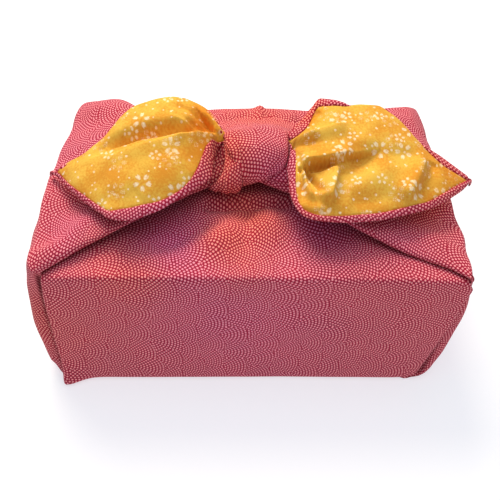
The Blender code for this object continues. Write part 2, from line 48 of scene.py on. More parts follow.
# Driving sizes of the wrapped form.
DEPTH = 146.0
TOP = 94.5
HALF_LENGTH = 109.0
BOTTOM_RADIUS = 4.0
TOP_RADIUS = 3.0
EDGE_TOP_DROP = 1.5
EDGE_DROP_AT = 108.0
CLOTH = 1.5
EAR_CLOTH = 1.1
LINING = 0.7

# The band: how its ends fold in, its back is drawn in, its right corner lifts,
# its front wall leans out and its left foot flares.
END_FOLD_IN = [(0.0, 1.6), (0.5, 0.6), (1.4, 0.1)]
END_PANEL_FROM = 4.0
BACK_DRAWN_IN = 5.0
DRAWN_IN_ABOVE = 18.0
CORNER_LIFT = 5.0
CORNER_LIFT_FROM = 86.0
CORNER_LIFT_WIDE = 20.0
LEAN_OUT = 1.3
LEAN_FROM = 20.0
LEAN_WIDE = 90.0
FOOT_FLARE = 8.2
FOOT_AT = -111.0
FOOT_WIDE = 11.0
FOOT_HIGH = 22.0
FADE_IN_FRONT = 14.0
FADE_BEHIND = 8.0
BAND_ROWS = 62
BASE_STEPS, FRONT_STEPS, TOP_STEPS, BACK_STEPS, ARC_STEPS = 9, 30, 72, 24, 6
BASE_CLEAR, WALL_CLEAR, TOP_CLEAR = 6.0, 3.0, 2.0

# Slack in each cloth: waves of a size and a height, and the shift of each one's seed.
BAND_SLACK = [(34.0, 0.55, 0), (13.0, 0.16, 5)]
WING_SLACK = [(26.0, 0.70, 0), (11.0, 0.25, 5)]
EAR_SLACK = [(19.0, 0.70, 0), (8.0, 0.22, 4)]
KNOT_SLACK = [(9.0, 0.50, 0)]
SLACK_FROM_FLOOR = 12.0
CRISP_EDGE_WIDE = 9.0
CRISP_EDGE = 0.85


# ---- tables

def table(columns, rows):
    """Lines of a name and its values as one array of values for each named column."""
    values = np.array([row.split(":")[1].split() for row in rows.strip().splitlines()], float)
    return dict(zip(columns.split(), values.T.copy()))


# The end edges of the front and back walls, which lean a little with height.
SIDES = table("z left right", """
    floor: 0 -111.4 101
    foot: 18 -111.5 105
    waist: 44 -111.3 109.8
    chest: 65 -110.8 113.8
    shoulder: 79 -110.1 115.2
    brow: 88 -109.2 117
    top: 96 -108.4 113.4
""")

# Soft swells and hollows of the flap that lies over the top of the box.
FLAP = table("x y height wide deep", """
    rise to the knot: 3 4 4.2 60 42
    fullness behind the knot: 4 60 5.8 62 15
    left puff: -16 -47 5.6 12 11
    right puff: 9 -37 5 13 11
    puff by the left crease: -50 -59 1.8 20 8
    left hollow: -40 -35 -2.4 14 11
    right hollow: 46 -45 -2.6 15 9
    middle hollow: -8 -27 -3 9 7
    right puff by the edge: 58 -65 1.6 22 7
""")

# Folds on the flap, from (x, y) to (x, y): the pulls that run down from the knot.
FLAP_FOLDS = table("from_along from_across to_along to_across near far height", """
    pull to the left puff: -9 -24 -19 -52 3.5 6 1.8
    valley between the puffs: -2 -26 -3 -50 3 4 -1.8
    pull to the right puff: 9 -22 14 -46 4 5 1.4
    slot under the knot: -22 -20 18 -18 4.5 3.5 -5.5
    left shadow valley: -26 -38 -46 -52 4 8 -1.4
    right shadow valley: 27 -34 40 -50 4 6 -1.6
    ridge past the right ear: 62 -56 88 -62 5 8 0.8
    back pull, left: -6 26 -14 58 3 5 1.6
    back pull, middle: 5 28 6.5 72 1.6 3.6 2.8
    back pull, right: 14 26 26 56 3 5 1.6
    back valley, left: -1 28 -4 54 2.5 3.5 -1.4
    back valley, right: 9 28 14 54 2.5 3.5 -1.4
""")

# Each wing from under the base, up the end wall and over the top to the knot.
WING_COLUMNS = "front_x front_y front_z back_x back_y back_z crown lean square"
LEFT_WING = table(WING_COLUMNS, """
    under: -95 -69 0.6 -95 67 0.6 0 0 4
    sole: -103.5 -71 0.7 -103 72 0.6 0.6 0 4
    corner tip: -109.5 -71 1.6 -108.6 75 0.9 7 0 4.5
    heel: -109.5 -65 6.4 -110.4 74.8 6 13 0 6
    low: -109.5 -62 17 -110.6 74.6 17 15.6 0 7
    middle: -109.4 -61.5 40 -110.2 74.6 40 17.4 0 7
    high: -109 -61.5 64 -109.2 74.4 64 16.8 4 6
    shoulder: -108.6 -65.5 84 -108 74 85 13.6 18 4.5
    front corner: -108.6 -72 96.6 -105 71.6 97.4 10 46 3.6
    over the edge: -100 -64.6 97 -97 70.6 99.9 6.6 72 3.2
    back lobe: -88.6 -57.4 99.8 -84 69.4 102.2 5.8 86 3
    outer top: -77 -50.6 102 -70 62 100.4 5.8 90 2.8
    middle top: -64 -43 104.6 -54 47 101 6.2 90 2.6
    inner top: -51 -35.6 106.6 -41 33 103.2 6.4 90 2.4
    gather: -36 -25.6 107.4 -29 22 104.8 7.2 90 2.2
    neck: -22 -15 106.2 -20 14 105.4 8.6 90 2.1
    in the knot: -8 -8 106 -8 10 105.6 8 90 2
""")
RIGHT_WING = table(WING_COLUMNS, """
    under: 86 -67 0.6 88 67 0.6 0 0 4
    sole: 95 -71.5 2.2 98 72 0.6 0.4 0 4
    rounded corner: 102.6 -70 6.4 104 74.4 2 6 0 4.5
    heel: 104.6 -65 12 107 74.6 8 10.4 0 6
    low: 106.4 -62 22 108.4 74.6 20 13.2 0 7
    middle: 109 -61.5 44 110.2 74.6 42 13.4 0 7
    high: 112.4 -61.5 65 111 74.4 64 11 4 6
    shoulder: 113.8 -65.5 84 110.6 74 84 4.4 14 4.5
    front corner: 112.6 -71.6 95.4 106.4 71.4 96.6 2.2 46 3.6
    over the edge: 103.6 -65.6 95.6 97.6 69 99.2 4 74 3.2
    back lobe: 93 -61.2 96.2 86 66.6 99.2 5.4 86 3
    outer top: 82 -57 97.6 72 59 99.4 5.8 90 2.8
    middle top: 69 -50.8 100.2 58 47 101 6.2 90 2.6
    inner top: 54 -43.6 104.2 45 33 103.2 6.4 90 2.4
    gather: 40 -34.6 107.6 33 22 104.8 7.2 90 2.2
    neck: 27 -23 106.6 25 14 105.4 8.6 90 2.1
    in the knot: 13 -13 106.4 13 10 105.6 8 90 2
""")
WING_SKEW = 0.48
# Beside the front wall's ends the wing rolls forwards past a narrow groove.
ROLL_FORWARD = 5.0
ROLL_FROM = 0.16
ROLL_WIDE = 0.12
ROLL_DEEP = 0.07
ROLL_FADE = 10.0
WING_TUCK = 0.8
WING_HEM_UNDER = 7.0
FULL_HEM = 40.0
SLACK_CROWN = 3.0
WING_MAP_FROM = 110.0
WING_ROWS = 150
WING_STEPS = 96
WING_FINE_IN_FRONT = 1.5

# Folds drawn on a sheet: from (along, across) to (along, across), each 0 to 1.
# near is its width on the right of that line and far its width on the left.
FOLD_COLUMNS = "from_along from_across to_along to_across near far height"
LEFT_WING_FOLDS = table(FOLD_COLUMNS, """
    valley by the ear: 0.53 0.13 0.61 0.36 0.06 0.06 -3.8
    puff at the corner: 0.54 0.05 0.62 0.1 0.05 0.05 2
    puff of the back corner: 0.59 0.9 0.64 0.88 0.07 0.07 3.4
    drawn in behind the ear: 0.44 0.76 0.55 0.8 0.09 0.09 -1.8
    full end by the ear tip: 0.47 0.34 0.51 0.48 0.06 0.08 1.4
    gather in front: 0.74 0.2 0.95 0.36 0.05 0.05 2.4
    gather behind: 0.7 0.8 0.95 0.62 0.06 0.06 2.8
    middle gather: 0.78 0.5 0.96 0.5 0.04 0.04 -2.4
    slack in the wall: 0.24 0.3 0.44 0.36 0.08 0.08 -1
    long crease in the wall: 0.2 0.6 0.5 0.52 0.03 0.06 -1
    crease behind: 0.3 0.8 0.52 0.84 0.03 0.05 -1
    shoulder crease: 0.46 0.3 0.54 0.1 0.03 0.05 -1.2
""")
RIGHT_WING_FOLDS = table(FOLD_COLUMNS, """
    valley under the ear: 0.57 0.28 0.68 0.13 0.06 0.06 -3.6
    puff at the corner: 0.52 0.05 0.6 0.12 0.05 0.05 1.8
    puff of the back corner: 0.56 0.9 0.62 0.88 0.07 0.07 2.6
    full end by the ear: 0.47 0.2 0.51 0.44 0.06 0.08 2.2
    gather in front: 0.74 0.2 0.95 0.36 0.05 0.05 2.4
    gather behind: 0.7 0.8 0.95 0.62 0.06 0.06 2.8
    middle gather: 0.78 0.5 0.96 0.5 0.04 0.04 -2.4
    slack in the wall: 0.24 0.25 0.44 0.3 0.08 0.08 -1.2
    crease across the wall: 0.22 0.55 0.46 0.62 0.03 0.06 -0.9
    crease behind: 0.3 0.8 0.5 0.78 0.03 0.05 -0.9
""")

# Each ear from the knot to its tip, between its upper and its lower edge.
EAR_FACE = np.array((0.0, -0.42, 0.91))
EAR_SLOPE = (0.91, 0.42)
EAR_COLUMNS = ("upper_x upper_y upper_z lower_x lower_y lower_z crown"
               " upper_border lower_border")
LEFT_EAR = table(EAR_COLUMNS, """
    in the knot: -8 3 121 -8 -6 118 0 0.5 1.5
    root: -15 5.5 127.5 -15.5 3 121.5 0.4 0.5 1
    opening: -19 11 131 -18.5 -0.5 119.5 1.6 0.5 4
    red turn-back: -25 16.5 135 -20.5 -14 119 3 0.5 13.5
    fan creases: -32 19.5 137.5 -21 -20.5 118 4.2 0.5 15.5
    upper lobe: -38 21 139 -25 -26 117.5 5 0.5 11
    top of the lobe: -44.5 21.5 139.5 -31.5 -31.5 117 5.6 0.5 5
    past the top: -51.5 20.5 139 -38 -37 116.5 6 0.5 3.5
    middle: -58.5 18.5 138 -46.5 -44 115.5 6 0.5 4.5
    shoulder: -65.5 16 136.5 -56 -49 115 5.6 0.5 6
    falling edge: -72 10 134 -64 -51.5 114.5 5 0.5 6.5
    lowest corner: -76.5 3.5 131.5 -72 -50 114 4.4 0.5 4.5
    past the corner: -81 -1 128 -79 -44 113 3.8 0.5 3.5
    narrowing: -86.5 -4.5 125 -86 -37.5 112 3.2 0.5 3.5
    near the tip: -92.5 -7 121 -93.5 -30 111.5 2.6 0.5 3
    last of the field: -100 -8 117 -100.5 -21.5 110.5 1.8 0.5 2.5
    tip border: -107 -8.5 112.5 -107 -13 109.5 0.8 1.5 2.5
    tip: -112 -7 109.5 -112 -8.5 109 0 0.5 0.5
""")
RIGHT_EAR = table(EAR_COLUMNS, """
    in the knot: 13 4 121 13 -6 118 0 1.5 1.5
    root: 20 3 126.5 20 -2 123.5 0.4 2 3
    opening: 23 7.5 129.5 20 -8.5 122 1 8 7.5
    flare: 27 10 132.5 19 -16.5 121 1.8 11.5 12
    rising flare: 30.5 12.5 136 19.5 -25 120 2.4 14 16
    below the peak: 33.5 15 138.5 20 -33.5 119 3 15.5 13.5
    peak: 38 19 141 22.5 -42.5 117.5 3.6 6.5 5.5
    behind the peak: 45 18 141 27 -49 116.5 4.4 4.5 3
    turn-back ends: 53 16 140 35 -51.5 115.5 5.2 2 3
    upper roll: 61.5 16.5 139 45.5 -52 115 6 0.5 3.5
    top of the roll: 70 17 138 56.5 -50.5 114 6.2 0.5 4
    falling edge: 76 14 136 67 -48.5 113.5 6 0.5 4
    side: 81 10.5 134 77.5 -45 113 5.6 0.5 4
    middle of the side: 86 5 131.5 87 -41.5 112.5 5 0.5 4
    outer side: 91 -1 128.5 95 -38 112 4.2 0.5 4
    border begins: 97 -3.5 125 102.5 -33.5 112 3.4 4 4.5
    near the tip: 104 -5 121 108.5 -28.5 111.5 2.6 7.5 4.5
    last of the field: 111.5 -8.5 117 114.5 -23.5 111.5 1.6 6 4
    tip border: 118 -11.5 113.5 118.5 -19 111.5 0.6 3.5 3
    tip: 121.5 -14 112 121 -15.5 111.5 0 0.5 0.5
""")

# Folds on an ear, each a bent line through three places on the ear's own slope,
# in millimetres: along is x and across is the distance up the slope. It rises over
# its first ninth and fades over its last quarter.
BEND_STEPS = 8
BEND_START = 9.0
BEND_END = 4.0
EAR_FOLD_COLUMNS = ("from_along from_across via_along via_across to_along to_across"
                    " near far height")
LEFT_EAR_FOLDS = table(EAR_FOLD_COLUMNS, """
    upper lobe: -32 56.5 -54.5 59 -71 47 11 9 3
    main valley: -19.5 57.5 -50.5 50.5 -90 40 6.5 1 -7.6
    lip below the valley: -24.5 54.5 -50 46.5 -84 34.5 1 6 1.8
    lower field: -30 34.5 -52.5 24.5 -76 21 12 12 1.6
    ridge of the fan: -19 55 -31.5 57.5 -48 64.5 1.5 6 2.6
    trough of the fan: -20.5 58.5 -32.5 66.5 -46.5 73.5 2.5 2 -2.2
    second crease: -19 57 -26.5 64.5 -31 72.5 1 1 -2
    edge strip: -17 58 -22 65 -29 72 2 2 1.2
    dent in the field: -57.5 17.5 -67.5 14.5 -78.5 18 4 6 -1
""")
RIGHT_EAR_FOLDS = table(EAR_FOLD_COLUMNS, """
    upper ridge: 21 50.5 37 53.5 53.5 59.5 7 1 4.2
    orange hollow: 31 57.5 34 63 38.5 67.5 3 3 -2.2
    shade under the ridge: 21.5 48 29 46 37.5 49 2.5 3 -3
    long roll: 25 36 43.5 40 71 51 5 5 2
    lip of the long roll: 25.5 34.5 43 35.5 69 43.5 1 4 1.8
    crease under the roll: 27.5 34 44.5 35.5 71 43.5 10 1 -5.6
    broad valley: 50 40 74 41 92 38.5 8 6 -3
    outer ridge: 93 40 87.5 25.5 79 13.5 6 2.5 4.6
    shade past the ridge: 98 40 93.5 26.5 86 14.5 3 4 -2
    right edge of the box fold: 45.5 33 43 20 39.5 8.5 7 1 7
    shade beside the box fold: 48 31 46.5 21 43 10 1.5 5 -1.8
    slot above the box fold: 30 33 37.5 32 45 34.5 1.5 1.5 -5
    crease of the box fold: 27.5 33 32 25 37.5 14 1 1.5 -6
    left pleat: 27 30 29 21 33 11.5 2.5 1 3.4
    slot in the left pleat: 25.5 32.5 26.5 24 27 15.5 1 1 -3
    foot of the box fold: 24.5 10.5 32 7.5 39.5 9 1 4 2.6
    dent in the lower field: 50.5 13 63.5 14.5 75 20 5 6 -1.2
""")

# The rolled border, the field sunk under the lining, and the edge without a border.
ROLL_HIGH = 0.9
FIELD_DEEP = 2.0
FULL_BORDER = 2.5
BORDERS_AT_MOST = 0.88
BARE_EDGE = 3.2
BARE_SUNK = 2.0
BARE_FADE = 0.04
EAR_ROWS = 170
BORDER_STEPS = 13
FIELD_STEPS = 72

# The lining: how it dips under the border and at its ends.
LINING_TUCK = 0.7
LINING_SINK = 0.9
SINK_AT_MOST = 0.8
SINK_WIDE = 0.9
SINK_AT_ROOT = 2.0
SINK_AT_TIP = 1.5
EAR_RUN = 110.0
LINING_ROWS = 200
LINING_STEPS = 100

# The knot: strips of gathered cloth, each from one hidden end to the other
# between two edges, puffed outwards between them.
STRIP_COLUMNS = "left_x left_y left_z right_x right_y right_z crown square"
BAND_OVER_KNOT = table(STRIP_COLUMNS, """
    from the back edge: -30 60 94 38 60 94 5 2.2
    over the back: -27 47 95 34 47 95 8.6 2.2
    rising behind: -24 33 98 30 33 99 12 2.3
    ridge behind: -20.5 21 106 26 21 108 12 2.4
    behind the crest: -17 10 118.6 22 10 120.6 7 2.4
    crest: -14.8 1 126.8 20 1 129 4.4 2.4
    over the crest: -13.2 -7 125.6 20 -7 128.4 4.8 2.3
    face: -9.6 -12 121.4 19.8 -11.4 126 5 2.2
    lower face: -5.6 -16 116 19.2 -13.4 122.8 4.8 2.2
    above the edge: -4.8 -17.6 111.6 18.4 -14.6 121.4 3.6 2.1
    bottom edge: -5 -17.2 108.4 17.6 -14 119.6 1.8 2
    tucked: -3 -11 106 14 -9 115 0.8 2
""")
LEFT_LOWER_TURN = table(STRIP_COLUMNS, """
    beside the crest: -15.6 2 124 -8.4 -2 127 1 2.2
    neck: -14 -6 120 -5.4 -11 124.4 2.4 2.2
    above the lobe: -14.8 -12 115.6 -4.6 -16 118.6 3.8 2.2
    lobe: -19.6 -16.4 110.4 -4.6 -18.4 112.2 4.4 2.2
    bottom of the lobe: -23 -17.2 107.6 -5.4 -18.2 107.2 3.6 2.2
    tucked: -18 -12 105 -8 -11 104.4 1 2.2
""")
RIGHT_LOWER_TURN = table(STRIP_COLUMNS, """
    under the band: -4 -10.6 107.6 -4 -12 111.6 0.8 2.2
    apex of the gap: 2.2 -13.4 109 2.2 -13.6 114.2 1.6 2.2
    widening: 8.4 -14.2 106.8 8.4 -12.6 117 2.6 2.2
    lobe: 14.4 -15.2 104.8 14.4 -12.4 119 3.2 2.2
    by the ear: 20 -17 103.6 20 -13.4 119.8 3.4 2.2
    under the ear: 27 -20 105 27 -18 117 2 2.2
""")
LEFT_SHOULDER = table(STRIP_COLUMNS, """
    behind: -24 16 112 -9 17 114 2 2.2
    top: -22 9 119 -10 8 122 2.4 2.2
    front: -21 1 114 -9 0 118 2.4 2.2
    lower front: -21 -5 108 -8 -5 110 2.4 2.2
    tucked: -20 -8 103 -8 -8 103 1.4 2.2
""")
RIGHT_SHOULDER = table(STRIP_COLUMNS, """
    behind: 14 16 114 30 14 113 2 2.2
    top: 15 6 126 26 7 124 2.2 2.2
    front: 15 -3 122 25 -3 119 2.2 2.2
    lower front: 14 -8 113 25 -10 112 2.4 2.2
    tucked: 14 -9 106 24 -12 106 1.6 2.2
""")
TURN_BEHIND = table(STRIP_COLUMNS, """
    right end: 30 14 105 30 12 116 3 2.2
    right: 18 19 103.6 18 17 115 5.6 2.2
    middle: 3 22 103.4 3 20 114 6 2.2
    left: -12 19 103.6 -12 17 114 5.6 2.2
    left end: -24 14 105 -24 12 114 3 2.2
""")
BAND_FOLDS = table(FOLD_COLUMNS, """
    gather on the crest: 0.26 0.4 0.42 0.44 0.02 0.03 -1.6
    second gather: 0.16 0.58 0.34 0.56 0.03 0.04 -0.7
    pleat by the crease: 0.56 0.14 0.84 0.1 0.04 0.06 -1.2
    fullness: 0.56 0.55 0.74 0.5 0.16 0.2 1.4
    dent above the turn: 0.66 0.92 0.78 0.7 0.05 0.06 -1
""")
TURN_FOLDS = table(FOLD_COLUMNS, """
    upper crease: 0.1 0.34 0.9 0.3 0.06 0.1 -1
    lower crease: 0.2 0.66 0.8 0.72 0.08 0.06 -0.8
""")


# Painted light and shade: a tint painted into the colour of both cloths at each place.
# Crests that catch the window are painted orange as painted light; hollows and the shaded
# wings are painted purple as painted shade, and the valleys of the yellow ears and the
# shadow under the knot a deeper orange. Each patch is a soft ball.
PAINTED_LIGHT_PATCHES = table("x y z reach warm", """
    left puff: -17 -48 98 13 0.9
    right puff: 11 -38 98 14 0.9
    between the puffs: -3 -60 95 16 0.5
    front edge of the flap: -60 -70 94 20 0.6
    left hollow: -46 -46 95 22 -0.8
    right hollow: 28 -34 96 15 -0.9
    under the right ear: 48 -40 96 16 -0.6
    back of the flap: 5 50 103 34 0.7
    left side of the band: -8 -6 126 12 0.6
    right foot of the band: 12 -15 116 11 -0.6
    left lower turn: -14 -16 110 8 0.5
    under the knot: -4 -22 97 16 0.9
    shoulder of the left wing: -104 20 98 34 -0.15
    below the left ear tip: -92 -48 100 16 -0.6
    front of the left wing: -84 -52 100 14 0.5
    left end wall: -122 -50 50 34 0.7
    upper front wall: -10 -73 70 46 -0.35
    lower front wall: 10 -73 20 60 -0.15
    right wing by the ear: 84 -46 101 14 -0.3
    right wing: 96 -30 103 16 0.5
    red turn-back of the left ear: -20 -10 122 13 0.7
    red flare of the right ear: 28 14 136 12 0.5
    pocket of the main valley: -74 4 117 9 1.2
    main valley: -50 8 121 12 0.6
    fan of the left ear: -28 8 130 13 0.8
    middle of the left field: -46 -16 122 14 0.5
    hollow behind the flare: 32 13 134 10 1
    under the long roll: 40 -14 120 10 0.6
    foot of the right ear: 34 -44 117 12 0.5
    tip of the right ear: 104 -16 118 16 0.5
""")


# ---- shapes

def smooth(values, where):
    """A curve through evenly spaced values that never overshoots them, read at 0 to 1."""
    place = np.clip(where, 0.0, 1.0) * (len(values) - 1)
    start = np.minimum(place.astype(int), len(values) - 2)
    step = place - start
    rise = np.diff(values)
    before, after = rise[:-1], rise[1:]
    turning = before * after <= 0
    mean = np.where(turning, 1.0, before + after)
    inner = np.where(turning, 0.0, 2.0 * before * after / mean)
    slope = np.concatenate(([rise[0]], inner, [rise[-1]]))
    square, cube = step ** 2, step ** 3
    return (values[start] * (2 * cube - 3 * square + 1)
            + values[start + 1] * (3 * square - 2 * cube)
            + slope[start] * (cube - 2 * square + step)
            + slope[start + 1] * (cube - square))


def columns_at(rows, along):
    """Every column of a table, read smoothly at the places along it."""
    return {name: smooth(values, along) for name, values in rows.items()}


def edge(at, name):
    """The points of one edge, from its x, y and z columns."""
    return np.stack([at[name + "_x"], at[name + "_y"], at[name + "_z"]], axis=-1)


def ease(rise):
    """A soft step from 0 to 1."""
    rise = np.clip(rise, 0, 1)
    return rise * rise * (3 - 2 * rise)


def crowded(count):
    """Places across a sheet from 0 to 1, closest together at its edges."""
    return ((1 - np.cos(np.linspace(0, math.pi, count))) / 2)[None, :]


def puff(across, square):
    """The swell between two edges: round where square is 2, flatter where it is more."""
    return (1 - np.abs(2 * across - 1) ** square) ** (1 / square)


def fold_height(folds, along, across):
    """Ridges and troughs summed over a sheet; each may be steeper on one side and bent."""
    total = np.zeros(np.broadcast(along, across).shape)
    bent = "via_along" in folds
    step = np.linspace(0, 1, BEND_STEPS if bent else 2)[:, None]
    for i, height in enumerate(folds["height"]):
        start = np.array([folds["from_along"][i], folds["from_across"][i]])
        end = np.array([folds["to_along"][i], folds["to_across"][i]])
        line = start + (end - start) * step
        if bent:
            via = np.array([folds["via_along"][i], folds["via_across"][i]])
            line = line + (2 * via - start - end) * 2 * step * (1 - step)
        nearest = np.full(total.shape, np.inf)
        side = np.zeros(total.shape)
        place = np.zeros(total.shape)
        for k in range(len(line) - 1):
            run = line[k + 1] - line[k]
            reach = ((along - line[k][0]) * run[0] + (across - line[k][1]) * run[1]) / (run @ run)
            reach = np.clip(reach, 0, 1)
            off_x = along - line[k][0] - reach * run[0]
            off_y = across - line[k][1] - reach * run[1]
            away = np.hypot(off_x, off_y)
            closer = away < nearest
            side = np.where(closer, run[0] * off_y - run[1] * off_x, side)
            place = np.where(closer, (k + reach) / (len(line) - 1), place)
            nearest = np.minimum(nearest, away)
        width = np.where(side > 0, folds["far"][i], folds["near"][i])
        taper = ease(BEND_START * place) * ease(BEND_END * (1 - place)) if bent else 1.0
        total = total + height * taper * np.exp(-(nearest / width) ** 2)
    return total


def rumple(grid, slack, seed):
    """The waves of slack cloth at each point of a grid of millimetre positions."""
    total = np.zeros(grid.shape[:-1])
    for size, height, shift in slack:
        flat = grid.reshape(-1, 3) / size + (seed + shift)
        values = [noise.fractal(Vector(point), 1.0, 2.0, 2) for point in flat]
        total = total + np.array(values).reshape(grid.shape[:-1]) * height
    return total


def unit(vectors):
    return vectors / np.maximum(np.linalg.norm(vectors, axis=-1, keepdims=True), 1e-9)


def lengths(points):
    """Distance run along each line of points."""
    steps = np.linalg.norm(np.diff(points, axis=-2), axis=-1)
    return np.concatenate([0 * steps[..., :1], np.cumsum(steps, axis=-1)], axis=-1)


def lengths_from_middle(grid):
    """Distance run across each row of a grid, counted from its middle."""
    over = lengths(grid)
    return over - over[:, -1:] / 2


def painted_light_at(grid):
    """The painted light and shade at each point, from -1, painted purple, to 1, painted orange."""
    total = np.zeros(grid.shape[:-1])
    for x, y, z, reach, warm in zip(*PAINTED_LIGHT_PATCHES.values()):
        far = np.linalg.norm(grid - (x, y, z), axis=-1) / reach
        total = total + warm * np.exp(-far ** 2)
    return np.clip(total, -1, 1)


def cloth_mesh(name, grid, places, material, ring=False, flip=False, thick=CLOTH):
    """One sheet of quads with its pattern map in millimetres and its painted light and shade,
    thickened inwards.
    """
    rows, columns = grid.shape[:2]
    spans = columns if ring else columns - 1
    i, j = np.meshgrid(np.arange(rows - 1), np.arange(spans), indexing="ij")
    corners = [(i, j), (i + 1, j), (i + 1, j + 1), (i, j + 1)]
    if flip:
        corners.reverse()
    faces = np.stack([a * columns + b % columns for a, b in corners], axis=-1).reshape(-1, 4)
    mesh = bpy.data.meshes.new(name)
    mesh.from_pydata((grid.reshape(-1, 3) * MM).tolist(), [], faces.tolist())
    layer = mesh.uv_layers.new(name="cloth")
    uv = np.stack([places[a, b] for a, b in corners], axis=2).reshape(-1, 2)
    layer.uv.foreach_set("vector", uv.astype(np.float32).ravel())
    # Painted light and shade: each point keeps its painted tint, by which the cloth's colour is
    # multiplied.
    painted_light_tint = mesh.attributes.new("painted_light_tint", "FLOAT", "POINT")
    painted_light_tint.data.foreach_set("value", painted_light_at(grid).ravel())
    mesh.polygons.foreach_set("use_smooth", [True] * len(mesh.polygons))
    mesh.materials.append(material)
    thing = bpy.data.objects.new(name, mesh)
    bpy.context.collection.objects.link(thing)
    wall = thing.modifiers.new("cloth thickness", "SOLIDIFY")
    wall.thickness = thick * MM
    wall.offset = -1.0
    return thing


# ---- band

def flap_top(x, y):
    """Height of the cloth that lies over the top of the box."""
    swell = np.zeros(np.broadcast(x, y).shape)
    for at_x, at_y, height, wide, deep in zip(*FLAP.values()):
        swell = swell + height * np.exp(-(((x - at_x) / wide) ** 2 + ((y - at_y) / deep) ** 2))
    swell = swell + fold_height(FLAP_FOLDS, x, y)
    fade = (DEPTH / 2 - np.abs(y)) / np.where(y > 0, FADE_BEHIND, FADE_IN_FRONT)
    drop = EDGE_TOP_DROP * (np.abs(x) / EDGE_DROP_AT) ** 6
    return TOP - drop + swell * ease(fade)


def arc(centre_y, centre_z, radius, start):
    """A quarter turn, clockwise seen from +X, as (y, z) points."""
    angles = [math.radians(start - 90.0 * i / ARC_STEPS) for i in range(ARC_STEPS + 1)]
    return [(centre_y + radius * math.cos(a), centre_z + radius * math.sin(a)) for a in angles]


def band_profile():
    """Once round the band in (y, z), from the back of the base to the back wall."""
    half, low, high = DEPTH / 2, BOTTOM_RADIUS, TOP_RADIUS
    base_end, top_end = half - low - BASE_CLEAR, half - high - TOP_CLEAR
    floor_end, brow_end = low + WALL_CLEAR, TOP - high - WALL_CLEAR
    base = [(y, 0.0) for y in np.linspace(base_end, -base_end, BASE_STEPS)]
    front = [(-half, z) for z in np.linspace(floor_end, brow_end, FRONT_STEPS)]
    top = [(y, TOP) for y in np.linspace(-top_end, top_end, TOP_STEPS)]
    back = [(half, z) for z in np.linspace(brow_end, floor_end, BACK_STEPS)]
    return np.array(base + arc(-half + low, low, low, 270) + front
                    + arc(-half + high, TOP - high, high, 180) + top
                    + arc(half - high, TOP - high, high, 90) + back
                    + arc(half - low, low, low, 0))


def band(seed):
    """The tube of cloth round the middle: base, front wall, flap and back wall."""
    profile = band_profile()
    panel = [(inset, 0.0) for inset in np.linspace(END_PANEL_FROM, HALF_LENGTH, BAND_ROWS)]
    left = np.array([(-1 + inset / HALF_LENGTH, fold) for inset, fold in END_FOLD_IN + panel])
    both = np.vstack([left, left[-2::-1] * (-1, 1)])
    share, fold = both[:, :1], both[:, 1:]
    y, z = profile[None, :, 0], profile[None, :, 1]
    middle_z = TOP / 2
    left_end = np.interp(z, SIDES["z"], SIDES["left"])
    drawn_in = BACK_DRAWN_IN * (y / DEPTH + 0.5) * np.clip(z / DRAWN_IN_ABOVE, 0, 1)
    right_end = np.interp(z, SIDES["z"], SIDES["right"]) - drawn_in
    x = left_end + (right_end - left_end) * (share + 1) / 2
    lift = CORNER_LIFT * np.maximum(0.0, (x - CORNER_LIFT_FROM) / CORNER_LIFT_WIDE) ** 2
    upper = np.clip((z - middle_z) / middle_z, 0, 1)
    high = z + (flap_top(x, y) - TOP) * upper ** 3
    high = np.where(z < middle_z, high + lift * (1 - z / middle_z), high)
    foot = FOOT_FLARE * np.exp(-((x - FOOT_AT) / FOOT_WIDE) ** 2)
    foot = foot * np.clip(1 - z / FOOT_HIGH, 0, 1) ** 2
    lean = LEAN_OUT * np.clip((LEAN_FROM - x) / LEAN_WIDE, 0, 1) * np.clip(1 - z / TOP, 0, 1)
    forward = (foot + lean) * np.clip((BOTTOM_RADIUS - DEPTH / 2 - y) / BOTTOM_RADIUS, 0, 1)
    grid = np.stack(np.broadcast_arrays(
        x, y * (1 - fold / (DEPTH / 2)) - forward,
        middle_z + (high - middle_z) * (1 - fold / middle_z)), axis=-1)
    wave = rumple(grid, BAND_SLACK, seed)
    wave = wave * np.clip(grid[:, :, 2] / SLACK_FROM_FLOOR, 0, 1) * (fold == 0)
    by_edge = np.hypot(y + DEPTH / 2, z - TOP) / CRISP_EDGE_WIDE
    wave = wave * (1 - CRISP_EDGE * np.exp(-by_edge ** 2))
    round_band = (np.roll(grid, -1, axis=1) - np.roll(grid, 1, axis=1)) / 2
    outwards = unit(np.cross(np.gradient(grid, axis=0), round_band))
    grid = grid + outwards * wave[:, :, None]
    places = np.zeros((grid.shape[0], grid.shape[1] + 1, 2))
    places[:, :-1, 0] = x
    places[:, -1, 0] = x[:, 0]
    places[:, :, 1] = lengths(np.vstack([profile, profile[:1]]))
    return grid, places


# ---- wings

